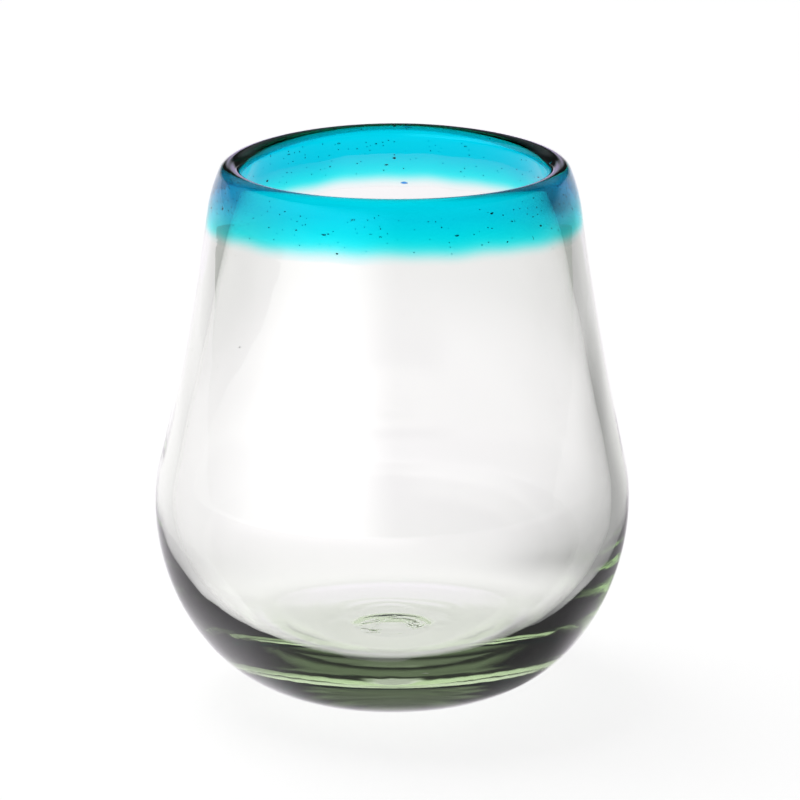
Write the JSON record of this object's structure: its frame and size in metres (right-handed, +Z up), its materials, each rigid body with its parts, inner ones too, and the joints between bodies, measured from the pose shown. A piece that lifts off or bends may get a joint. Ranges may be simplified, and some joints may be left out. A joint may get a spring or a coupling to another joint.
{
  "type": "stemless wine glass",
  "caption": "Hand-blown stemless wine glass: thick-based clear bowl that narrows to a fat, rounded lip of blue-green glass.",
  "frame": {"origin": "middle of the flat foot, on the surface that the glass stands on", "axes": "+Z up along the axis of the glass, -Y towards the viewer"},
  "size_m": [0.0946, 0.0946, 0.108],
  "materials": {
    "clear_glass": "fire-polished, faint green tint",
    "aqua_glass": "fire-polished, clear colour",
    "pontil_glass": "snapped and melted smooth, faint green tint",
    "dark_grain": "undissolved colour grain",
    "blue_grain": "undissolved colour grain"
  },
  "bodies": {
    "root": {"clear_bowl": "clear_glass", "colour_lip": "aqua_glass", "pontil_ring": "pontil_glass", "colour_grains": "dark_grain", "blue_grain": "blue_grain"}
  },
  "joints": []
}
